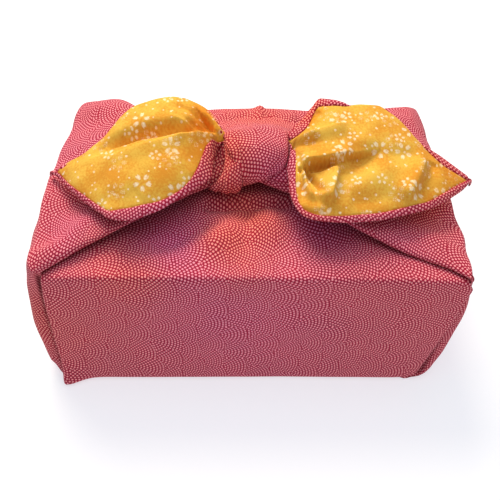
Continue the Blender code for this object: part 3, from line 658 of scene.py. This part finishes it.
def wing(rows, folds, side, seed):
    """A wing's outer face with its front and back edges turned under."""
    along = np.linspace(0, 1, WING_ROWS)[:, None]
    across = crowded(WING_STEPS) ** WING_FINE_IN_FRONT
    at = columns_at(rows, along)
    front, back = edge(at, "front"), edge(at, "back")
    lean = np.radians(at["lean"])
    out = np.stack([side * np.cos(lean), 0 * lean, np.sin(lean)], axis=-1)
    swell = puff(across, at["square"])
    roll = ease((swell - ROLL_FROM) / ROLL_WIDE) * np.exp(-(across / ROLL_DEEP) ** 2)
    roll = roll * np.cos(lean) ** 4 * np.clip(front[:, :, 2] / ROLL_FADE, 0, 1)
    swell = swell * (1 - WING_SKEW * across * np.cos(lean))
    height = (at["crown"] + fold_height(folds, along, across)) * swell
    face = front + (back - front) * across[:, :, None] + out * height[:, :, None]
    face[:, :, 1] -= ROLL_FORWARD * roll
    wave = rumple(face, WING_SLACK, seed) * swell * np.minimum(1, at["crown"] / SLACK_CROWN)
    face = face + out * wave[:, :, None]

    inward = unit(back - front)
    curl = [(WING_HEM_UNDER, -WING_TUCK), (WING_HEM_UNDER / 2, -WING_TUCK)]
    curl += [(WING_TUCK * (1 - math.cos(a)), -WING_TUCK * math.sin(a))
             for a in np.radians([90, 60, 30])]
    shrink = np.minimum(1.0, np.linalg.norm(back - front, axis=-1, keepdims=True) / FULL_HEM)
    before = [front + inward * s * shrink + out * h for s, h in curl]
    after = [back - inward * s * shrink + out * h for s, h in reversed(curl)]
    grid = np.concatenate(before + [face] + after, axis=1)

    run = lengths_from_middle(grid)
    path = side * (WING_MAP_FROM + lengths(face[:, WING_STEPS // 2]))
    return grid, np.stack([np.broadcast_to(path[:, None], run.shape), run], axis=-1)


# ---- ears

def on_slope(points):
    """Places on the ears' own slope in millimetres: x, and the distance up the slope."""
    return points[..., 0], EAR_SLOPE[0] * points[..., 1] + EAR_SLOPE[1] * points[..., 2]


def ear_face(ear, folds, along, across, seed):
    """Points of an ear's lining face; along is a column and across a full grid."""
    at = columns_at(ear, along)
    upper, lower = edge(at, "upper"), edge(at, "lower")
    arch = across * (1 - across)
    inside = np.minimum(1.0, 8 * arch)
    points = upper + (lower - upper) * across[:, :, None]
    height = at["crown"] * 4 * arch + fold_height(folds, *on_slope(points)) * inside
    wave = rumple(points, EAR_SLACK, seed) * inside
    return points + EAR_FACE * (height + wave)[:, :, None]


def ear_widths(ear, along):
    """The ear's width, where its two borders end across it, and how thick the upper one is."""
    at = columns_at(ear, along)
    wide = np.linalg.norm(edge(at, "upper") - edge(at, "lower"), axis=-1)
    total = at["upper_border"] + at["lower_border"]
    scale = np.minimum(1.0, BORDERS_AT_MOST * wide / total)
    first = at["upper_border"] * scale / wide
    last = 1 - at["lower_border"] * scale / wide
    return wide, first, last, np.minimum(1, at["upper_border"] / FULL_BORDER)


def ear_cloth(ear, folds, seed):
    """The red cloth of an ear: rolled border at both edges, sunk under the lining."""
    along = np.linspace(0, 1, EAR_ROWS)[:, None]
    wide, first, last, rolled = ear_widths(ear, along)
    roll = np.linspace(0, 1, BORDER_STEPS)[None, :]
    field = np.linspace(0, 1, FIELD_STEPS)[None, 1:-1]
    across = np.concatenate([first * roll, first + (last - first) * field,
                             last + (1 - last) * roll], axis=1)
    bare = np.maximum(0, 1 - across / (first + BARE_FADE))
    across = across + (1 - rolled) * (BARE_EDGE / wide) * bare
    points = ear_face(ear, folds, along, across, seed)
    hump = np.sqrt(np.maximum(0, 1 - (2 * roll - 1) ** 2)) * ROLL_HIGH
    raised = np.concatenate([
        rolled * hump - (1 - rolled) * BARE_SUNK,
        np.full((EAR_ROWS, field.shape[1]), -FIELD_DEEP),
        np.broadcast_to(hump, (EAR_ROWS, BORDER_STEPS))], axis=1)
    points = points + EAR_FACE * raised[:, :, None]
    return points, np.stack(on_slope(points), axis=-1)


def ear_lining(ear, folds, seed, start, end):
    """The lining laid inside the border, its edges tucked down behind the roll."""
    along = np.linspace(start, end, LINING_ROWS)[:, None]
    wide, first, last, rolled = ear_widths(ear, along)
    first = first - LINING_TUCK / wide
    last = last + LINING_TUCK / wide
    across = first + (last - first) * np.linspace(0, 1, LINING_STEPS)[None, :]
    points = ear_face(ear, folds, along, across, seed)
    edges = [(rolled, (across - first) * wide / SINK_WIDE),
             (1.0, (last - across) * wide / SINK_WIDE),
             (1.0, (along - start) * EAR_RUN / SINK_AT_ROOT),
             (1.0, (end - along) * EAR_RUN / SINK_AT_TIP)]
    sink = sum(LINING_SINK * share * np.exp(-away ** 2) for share, away in edges)
    points = points - EAR_FACE * np.minimum(sink, SINK_AT_MOST)[:, :, None]
    return points, np.stack(on_slope(points), axis=-1)


# ---- knot

def strip(rows, folds, counts, seed):
    """A puffed strip of gathered cloth, swelling upwards when its run is seen from above."""
    along = np.linspace(0, 1, counts[0])[:, None]
    across = crowded(counts[1])
    at = columns_at(rows, along)
    left, right = edge(at, "left"), edge(at, "right")
    run = np.gradient((left + right)[:, 0] / 2, axis=0)[:, None, :]
    out = unit(np.cross(run, right - left))
    swell = puff(across, at["square"])
    height = (at["crown"] + fold_height(folds, along, across)) * swell
    points = left + (right - left) * across[:, :, None] + out * height[:, :, None]
    points = points + out * (rumple(points, KNOT_SLACK, seed) * swell)[:, :, None]
    over = lengths_from_middle(points)
    path = lengths(points[:, counts[1] // 2])
    return points, np.stack([over, np.broadcast_to(-path[:, None], over.shape)], axis=-1)


# ---- materials

def linear(code):
    """An sRGB hex colour such as "A81E36" as linear RGBA."""
    parts = [int(code[i:i + 2], 16) / 255 for i in (0, 2, 4)]
    return [p / 12.92 if p <= 0.04045 else ((p + 0.055) / 1.055) ** 2.4 for p in parts] + [1.0]


def fill(tree, node, inputs):
    """Sets a node's inputs to values, or links them; a node stands for its first live output."""
    for key, value in inputs.items():
        if isinstance(value, bpy.types.Node):
            value = next(output for output in value.outputs if output.enabled)
        if isinstance(value, bpy.types.NodeSocket):
            tree.links.new(value, node.inputs[key])
        else:
            node.inputs[key].default_value = value


def add(tree, kind, *inputs, **settings):
    """Adds one shader node, its inputs in order or in one dictionary.

    The kind is a node's, a node's with its operation, or an operation of Math alone.
    """
    kind, _, operation = ("Math " + kind if kind.isupper() else kind).partition(" ")
    made = tree.nodes.new("ShaderNode" + kind)
    if operation:
        made.operation = operation
    for name, value in settings.items():
        setattr(made, name, value)
    named = bool(inputs) and isinstance(inputs[0], dict)
    fill(tree, made, inputs[0] if named else dict(enumerate(inputs)))
    return made


def start_group(name, inputs, output):
    """An empty node group with one output: its tree, its given values and its last node."""
    tree = bpy.data.node_groups.new(name, "ShaderNodeTree")
    for label in inputs + [output]:
        kind = "NodeSocketVector" if label in ("Place", "Offset") else "NodeSocketFloat"
        way = "OUTPUT" if label == output else "INPUT"
        tree.interface.new_socket(label, in_out=way, socket_type=kind)
    return tree, tree.nodes.new("NodeGroupInput").outputs, tree.nodes.new("NodeGroupOutput")


# Same komon, the sharkskin print: arcs of fine dots in overlapping fans, in millimetres.
FAN_COLUMN = 13.5
FAN_SPACING = 16.0
FAN_REACH = 17.3
FAN_SEED = 7.0
FAN_JITTER = 4.0
RING_STEP = 1.64
RING_STAGGER = 0.37
DOTS_PER_RING = 6.0
DOT_RADIUS = 0.52
DOT_SOFT = 0.14
DRIFT = 6.0
DRIFT_SIZE = 34.0


def fan_offset_group():
    """Offset of a point from the centre of its own fan, or of one some columns back."""
    tree, given, made = start_group("fan offset", ["Along", "Across", "Columns Back"], "Offset")
    along, across = given["Along"], given["Across"]
    column = add(tree, "FLOOR", add(tree, "DIVIDE", along, FAN_COLUMN))
    column = add(tree, "SUBTRACT", column, given["Columns Back"])
    odd = add(tree, "FLOORED_MODULO", column, 2.0)
    shift = add(tree, "MULTIPLY", odd, FAN_SPACING / 2)
    place = add(tree, "DIVIDE", add(tree, "SUBTRACT", across, shift), FAN_SPACING)
    row = add(tree, "ROUND", place)
    centre_x = add(tree, "MULTIPLY", column, FAN_COLUMN)
    centre_y = add(tree, "MULTIPLY_ADD", row, FAN_SPACING, shift)
    cell = add(tree, "CombineXYZ", column, row, FAN_SEED)
    chance = add(tree, "TexWhiteNoise", cell, noise_dimensions="3D").outputs["Color"]
    stray = add(tree, "VectorMath ADD", chance, (-0.5,) * 3)
    stray = add(tree, "VectorMath MULTIPLY", stray, (FAN_JITTER, FAN_JITTER, 0))
    point = add(tree, "CombineXYZ", along, across, 0.0)
    centre = add(tree, "CombineXYZ", centre_x, centre_y, 0.0)
    away = add(tree, "VectorMath SUBTRACT", point, centre)
    fill(tree, made, {"Offset": add(tree, "VectorMath SUBTRACT", away, stray)})
    return tree


def sharkskin_print(tree, place):
    """Mask of the pale dots at a place on the cloth, given in millimetres."""
    drift = add(tree, "TexNoise", {"Vector": place, "Scale": 1 / DRIFT_SIZE, "Detail": 0.0},
                noise_dimensions="2D").outputs["Color"]
    drift = add(tree, "VectorMath MULTIPLY_ADD", drift, (DRIFT,) * 3, place)
    split = add(tree, "SeparateXYZ", drift).outputs
    fans = fan_offset_group()
    own, near = (add(tree, "Group", {"Along": split[0], "Across": split[1], "Columns Back": back},
                     node_tree=fans) for back in (0.0, 1.0))
    covers = add(tree, "LESS_THAN", add(tree, "VectorMath LENGTH", near), FAN_REACH)
    offset = add(tree, "Mix", {0: covers, 4: own, 5: near}, data_type="VECTOR")
    local = add(tree, "SeparateXYZ", offset).outputs
    distance = add(tree, "VectorMath LENGTH", offset)
    ring = add(tree, "ROUND", add(tree, "DIVIDE", distance, RING_STEP))
    radius = add(tree, "MULTIPLY", ring, RING_STEP)
    angle = add(tree, "ARCTAN2", local[1], local[0])
    count = add(tree, "MAXIMUM", add(tree, "MULTIPLY", ring, DOTS_PER_RING), 1.0)
    turn = add(tree, "DIVIDE", angle, math.tau)
    stagger = add(tree, "MULTIPLY", ring, RING_STAGGER)
    step = add(tree, "MULTIPLY_ADD", turn, count, stagger)
    part = add(tree, "SUBTRACT", add(tree, "FRACT", step), 0.5)
    arc_step = add(tree, "DIVIDE", add(tree, "MULTIPLY", radius, math.tau), count)
    sideways = add(tree, "MULTIPLY", part, arc_step)
    outwards = add(tree, "SUBTRACT", distance, radius)
    far = add(tree, "VectorMath LENGTH", add(tree, "CombineXYZ", sideways, outwards, 0.0))
    return add(tree, "MapRange", far, DOT_RADIUS + DOT_SOFT, DOT_RADIUS - DOT_SOFT)


# Each scatter of blossoms: shift, cell and radius in millimetres, share of the cells,
# petals and slimness. The last one is stippled.
BLOSSOMS = [
    (3.0, 20.0, 5.3, 0.50, 5.0, 0.22),
    (41.0, 13.0, 3.4, 0.45, 5.0, 0.22),
    (77.0, 7.4, 2.6, 0.62, 1.0, 0.26),
    (123.0, 5.2, 1.7, 0.40, 1.0, 0.30),
    (211.0, 15.0, 4.8, 0.50, 5.0, 0.27),
]
BLOSSOMS_STRAY = 0.62
SPECK_SPACING = 0.85
SPECKS_STRAY = 0.3
SPECK_RADIUS = (0.42, 0.24)
STIPPLED = 0.75

# A petal and the nick in its outer end, in shares of the blossom's radius.
PETAL_AT, PETAL_LONG = 0.66, 0.32
NICK_AT, NICK_LONG, NICK_WIDE = 1.0, 0.16, 0.10
PETAL_SOFT = (1.12, 0.72)
NICK_SOFT = (0.6, 1.2)


def blossom_group():
    """One scatter of five-petalled blossoms, or of loose petals when Petals is 1."""
    tree, given, made = start_group(
        "blossoms", ["Place", "Cell", "Radius", "Share", "Petals", "Slim"], "Mask")
    small = add(tree, "DIVIDE", 1.0, given["Cell"])
    scaled = add(tree, "VectorMath SCALE", {0: given["Place"], "Scale": small})
    cells = add(tree, "TexVoronoi", {"Vector": scaled, "Scale": 1.0, "Randomness": BLOSSOMS_STRAY},
                voronoi_dimensions="2D").outputs
    away = add(tree, "VectorMath SUBTRACT", scaled, cells["Position"])
    away = add(tree, "VectorMath SCALE", {0: away, "Scale": given["Cell"]})
    flat = add(tree, "VectorMath MULTIPLY", away, (1.0, 1.0, 0.0))
    local = add(tree, "SeparateXYZ", flat).outputs
    luck = add(tree, "SeparateColor", cells["Color"]).outputs
    distance = add(tree, "VectorMath LENGTH", flat)
    turn = add(tree, "DIVIDE", add(tree, "ARCTAN2", local[1], local[0]), math.tau)
    turned = add(tree, "ADD", turn, luck[0])
    petal = add(tree, "FRACT", add(tree, "MULTIPLY", turned, given["Petals"]))
    swing = add(tree, "DIVIDE", add(tree, "SUBTRACT", petal, 0.5), given["Petals"])
    swing = add(tree, "MULTIPLY", swing, math.tau)
    out = add(tree, "MULTIPLY", distance, add(tree, "COSINE", swing))
    out = add(tree, "DIVIDE", out, given["Radius"])
    over = add(tree, "MULTIPLY", distance, add(tree, "SINE", swing))
    over = add(tree, "DIVIDE", over, given["Radius"])

    def oval(centre, long, wide):
        """How far a place is from the middle of an oval, squared; 1 at its edge."""
        along = add(tree, "DIVIDE", add(tree, "SUBTRACT", out, centre), long)
        aside = add(tree, "DIVIDE", over, wide)
        return add(tree, "ADD", add(tree, "POWER", along, 2.0),
                   add(tree, "POWER", aside, 2.0))

    shape = add(tree, "POWER", oval(PETAL_AT, PETAL_LONG, given["Slim"]), 0.5)
    body = add(tree, "MapRange", shape, *PETAL_SOFT)
    kept = add(tree, "MapRange", oval(NICK_AT, NICK_LONG, NICK_WIDE), *NICK_SOFT)
    shown = add(tree, "LESS_THAN", luck[1], given["Share"])
    mask = add(tree, "MULTIPLY", add(tree, "MULTIPLY", body, kept), shown)
    fill(tree, made, {"Mask": mask})
    return tree


def blossom_print(tree, place):
    """Mask of the pale blossoms, loose petals and stippled blossoms at a place."""
    group = blossom_group()
    masks = []
    for shift, *sizes in BLOSSOMS:
        moved = add(tree, "VectorMath ADD", place, (shift, shift * 0.7, 0))
        masks.append(add(tree, "Group", moved, *sizes, node_tree=group))
    specks = add(tree, "TexVoronoi", {"Vector": place, "Scale": 1 / SPECK_SPACING,
                                      "Randomness": SPECKS_STRAY}, voronoi_dimensions="2D")
    speck = add(tree, "MapRange", specks.outputs["Distance"], *SPECK_RADIUS)
    stippled = add(tree, "MULTIPLY", masks[-1], speck)
    masks[-1] = add(tree, "MULTIPLY", stippled, STIPPLED)
    mask = masks[0]
    for more in masks[1:]:
        mask = add(tree, "MAXIMUM", mask, more)
    return mask


# The weave in millimetres: threads 0.62 apart, coarser than the real ones so that they show.
THREAD = 0.62
WEAVE_HIGH = 0.05

# The grain of the yarn as a noise: what of it counts for gloss and for colour, and how matt
# it leaves the cloth.
GRAIN = (0.2, 0.8)
GRAIN_SHOWN = (0.3, 0.7)
MATT = (0.82, 0.96)

# How each cotton is dyed and printed, and its painted light and shade. The dye lies in
# patches, in waves to the millimetre; slubs are thick places in the yarn, in millimetres;
# cover is how much of the ground the ink hides; the cool and warm tints multiply the colour
# by the painted light and shade of the place.
# Crimson dye with the dots discharged to pale pink: a fine, even, lively red.
CRIMSON = {"ground": ("981838", "A81E36"), "ink": "FFA6AC", "cover": (0.82, 1.0),
           "patches": 0.035, "detail": 1.0, "slub": 1.6, "slub_high": 0.12,
           "painted_cool": (1.0, 0.95, 1.55, 1.0), "warm": (1.10, 0.98, 0.62, 1.0)}
# Golden yellow dye, streaked by the slubs, with cream blossoms worn thin by the weave.
GOLD = {"ground": ("DA942E", "E3B548"), "ink": "F8E8C4", "cover": (0.42, 0.92),
        "patches": 0.06, "detail": 2.0, "slub": 1.3, "slub_high": 0.16, "streaks": 0.8,
        "painted_cool": (1.0, 1.06, 1.15, 1.0), "warm": (1.04, 0.74, 0.40, 1.0)}


def cotton(name, look, printed):
    """Plain-woven cotton, dyed and then printed, its colour tinted by painted light and shade:
    matt, with the weave's soft relief.
    """
    material = bpy.data.materials.new(name)
    material.use_nodes = True
    tree = material.node_tree
    place = add(tree, "UVMap", uv_map="cloth")
    mask = printed(tree, place)
    split = add(tree, "SeparateXYZ", place).outputs
    warp = add(tree, "SINE", add(tree, "MULTIPLY", split[0], math.tau / THREAD))
    weft = add(tree, "SINE", add(tree, "MULTIPLY", split[1], math.tau / THREAD))
    grain = add(tree, "TexNoise", {"Vector": place, "Scale": 1 / look["slub"], "Detail": 3.0},
                noise_dimensions="2D")
    fine = add(tree, "Bump", {"Strength": 0.6, "Distance": WEAVE_HIGH * MM,
                              "Height": add(tree, "MULTIPLY", warp, weft)})
    soft = add(tree, "Bump", {"Strength": 0.8, "Distance": look["slub_high"] * MM,
                              "Height": grain, "Normal": fine})
    patch = add(tree, "TexNoise", {"Vector": place, "Scale": look["patches"],
                                   "Detail": look["detail"]}, noise_dimensions="2D")
    if "streaks" in look:
        patch = add(tree, "SUBTRACT", patch, look["streaks"] / 2)
        patch = add(tree, "MULTIPLY_ADD", grain, look["streaks"], patch)
        patch = add(tree, "MapRange", patch, *GRAIN_SHOWN)
    colour = add(tree, "Mix", {0: patch, 6: linear(look["ground"][0]),
                               7: linear(look["ground"][1])}, data_type="RGBA")
    tone = add(tree, "MapRange", grain, *GRAIN_SHOWN, *look["cover"])
    colour = add(tree, "Mix", {0: add(tree, "MULTIPLY", mask, tone), 6: colour,
                               7: linear(look["ink"])}, data_type="RGBA")
    # Painted light and shade: the colour is multiplied by the cool tint where the painted tint of
    # the place is below zero and by the warm tint where it is above.
    painted_light_tint = add(tree, "Attribute", attribute_name="painted_light_tint").outputs["Fac"]
    painted_cool_share = add(tree, "MAXIMUM", add(tree, "MULTIPLY", painted_light_tint, -1.0), 0.0)
    painted_warm_share = add(tree, "MAXIMUM", painted_light_tint, 0.0)
    for share, tint in ((painted_cool_share, look["painted_cool"]), (painted_warm_share, look["warm"])):
        colour = add(tree, "Mix", {0: share, 6: colour, 7: tint},
                     data_type="RGBA", blend_type="MULTIPLY")
    fill(tree, tree.nodes["Principled BSDF"], {
        "Base Color": colour, "Roughness": add(tree, "MapRange", grain, *GRAIN, *MATT),
        "Specular IOR Level": 0.15, "Sheen Weight": 0.04, "Sheen Roughness": 0.5,
        "Normal": soft})
    return material


def studio_white():
    """Matt white paper sweep, which the bundle stands on; its grain is 2.5 mm."""
    material = bpy.data.materials.new("white studio paper")
    material.use_nodes = True
    tree = material.node_tree
    place = add(tree, "TexCoord").outputs["Object"]
    grain = add(tree, "TexNoise", {"Vector": place, "Scale": 400.0})
    tone = add(tree, "Mix", {0: grain, 6: linear("B2B2B2"), 7: linear("B8B8B8")},
               data_type="RGBA")
    fill(tree, tree.nodes["Principled BSDF"], {
        "Base Color": tone, "Roughness": 0.95,
        "Emission Color": linear("F6F9FF"), "Emission Strength": 0.62})
    return material


# ---- studio

# The camera found from the bundle's own edges in the photograph, and its angles in degrees.
CAMERA_PLACE = (-2.6, -301.6, 365.6)
CAMERA_DOWN = 47.43
CAMERA_TURN = 0.52
CAMERA_ROLL = 0.85
CAMERA_LENS = 49.8
CAMERA_SENSOR = 36.0

# Each lamp: its place and its size in metres, its watts and its colour.
LAMPS = {
    "window light from behind on the left":
        ((-0.28, 0.62, 1.04), 0.72, 15.5, (1.0, 0.90, 0.72)),
    "soft light from above": ((0.1, -0.2, 1.3), 1.2, 7.0, (0.86, 0.90, 1.0)),
}
LAMPS_AIM = (0.0, 0.0, 0.08)
ROOM_COLOUR = (0.97, 0.96, 1.0, 1.0)
ROOM_LIGHT = 0.34
FLOOR_HALF = 3.0
FLOOR_DOWN = 0.0003


def camera():
    down, turn, roll = (math.radians(v) for v in (CAMERA_DOWN, CAMERA_TURN, CAMERA_ROLL))
    ahead = Vector((math.sin(turn) * math.cos(down), math.cos(turn) * math.cos(down),
                    -math.sin(down)))
    level = Vector((math.cos(turn), -math.sin(turn), 0))
    rise = level.cross(ahead)
    right = level * math.cos(roll) + rise * math.sin(roll)
    up = rise * math.cos(roll) - level * math.sin(roll)
    data = bpy.data.cameras.new("camera")
    data.sensor_width = CAMERA_SENSOR
    data.lens = CAMERA_LENS
    data.clip_start = 0.01
    thing = bpy.data.objects.new("camera", data)
    bpy.context.collection.objects.link(thing)
    pose = Matrix((right, up, -ahead)).transposed().to_4x4()
    pose.translation = Vector(CAMERA_PLACE) * MM
    thing.matrix_world = pose
    bpy.context.scene.camera = thing


def studio():
    for name, (place, size, watts, colour) in LAMPS.items():
        data = bpy.data.lights.new(name, "AREA")
        data.shape = "DISK"
        data.size = size
        data.energy = watts
        data.color = colour
        thing = bpy.data.objects.new(name, data)
        bpy.context.collection.objects.link(thing)
        thing.location = place
        aim = Vector(LAMPS_AIM) - Vector(place)
        thing.rotation_euler = aim.to_track_quat("-Z", "Y").to_euler()
    world = bpy.data.worlds.new("white room")
    world.use_nodes = True
    fill(world.node_tree, world.node_tree.nodes["Background"],
         {"Color": ROOM_COLOUR, "Strength": ROOM_LIGHT})
    bpy.context.scene.world = world
    bpy.context.scene.view_settings.view_transform = "Standard"
    mesh = bpy.data.meshes.new("floor")
    corners = [(-1, -1), (1, -1), (1, 1), (-1, 1)]
    mesh.from_pydata([(x * FLOOR_HALF, y * FLOOR_HALF, -FLOOR_DOWN) for x, y in corners],
                     [], [(0, 1, 2, 3)])
    mesh.materials.append(studio_white())
    floor = bpy.data.objects.new("floor", mesh)
    bpy.context.collection.objects.link(floor)


# ---- build

camera()
studio()
red = cotton("crimson sharkskin-print cotton", CRIMSON, sharkskin_print)
yellow = cotton("golden blossom-print cotton", GOLD, blossom_print)

# Each strip of the knot: its rows and folds, the rows and columns of its grid, its seed, its
# flat cut in metres and what it lies on.
KNOT = [
    ("knot_band", BAND_OVER_KNOT, BAND_FOLDS, (110, 90), 41.0, (0.062, 0.098),
     ["wing_left_cloth", "wing_right_cloth"]),
    ("knot_turn_left", LEFT_LOWER_TURN, TURN_FOLDS, (60, 50), 43.0, (0.022, 0.034),
     ["band_cloth"]),
    ("knot_turn_right", RIGHT_LOWER_TURN, TURN_FOLDS, (60, 50), 47.0, (0.016, 0.030),
     ["band_cloth"]),
    ("knot_shoulder_left", LEFT_SHOULDER, TURN_FOLDS, (50, 40), 51.0, (0.018, 0.036),
     ["wing_left_cloth"]),
    ("knot_shoulder_right", RIGHT_SHOULDER, TURN_FOLDS, (50, 40), 53.0, (0.016, 0.036),
     ["wing_right_cloth"]),
    ("knot_turn_behind", TURN_BEHIND, TURN_FOLDS, (60, 50), 57.0, (0.021, 0.056),
     ["band_cloth"]),
]

# Each piece: its grid and map, its flat cut in metres, how it is held, what it lies on,
# and what else its mesh needs.
PIECES = {
    "band_cloth": (band(3.0), (0.219, 0.472), "folded", [], {"ring": True}),
    "wing_left_cloth": (wing(LEFT_WING, LEFT_WING_FOLDS, -1, 11.0),
                        (0.155, 0.235), "folded", ["band_cloth"], {}),
    "wing_right_cloth": (wing(RIGHT_WING, RIGHT_WING_FOLDS, 1, 23.0),
                         (0.155, 0.225), "folded", ["band_cloth"], {"flip": True}),
    "ear_left_cloth": (ear_cloth(LEFT_EAR, LEFT_EAR_FOLDS, 31.0),
                       (0.070, 0.115), "draped", ["wing_left_cloth"], {"thick": EAR_CLOTH}),
    "ear_right_cloth": (ear_cloth(RIGHT_EAR, RIGHT_EAR_FOLDS, 37.0), (0.070, 0.115), "draped",
                        ["wing_right_cloth"], {"flip": True, "thick": EAR_CLOTH}),
    "ear_left_lining": (ear_lining(LEFT_EAR, LEFT_EAR_FOLDS, 31.0, 0.035, 0.945),
                        (0.062, 0.098), "laid", ["ear_left_cloth"], {"thick": LINING}),
    "ear_right_lining": (ear_lining(RIGHT_EAR, RIGHT_EAR_FOLDS, 37.0, 0.035, 0.95),
                         (0.062, 0.098), "laid", ["ear_right_cloth"],
                         {"flip": True, "thick": LINING}),
}
for name, rows, folds, counts, seed, flat, below in KNOT:
    PIECES[name] = (strip(rows, folds, counts, seed), flat, "gathered", below, {})
LININGS = {"ear_left_lining": "lining_left", "ear_right_lining": "lining_right"}

for name, (shape, flat, held, below, more) in PIECES.items():
    is_lining = name in LININGS
    piece = cloth_mesh(name, *shape, yellow if is_lining else red, **more)
    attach(piece, "root")
    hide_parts(LININGS.get(name, "outer_cloth"))
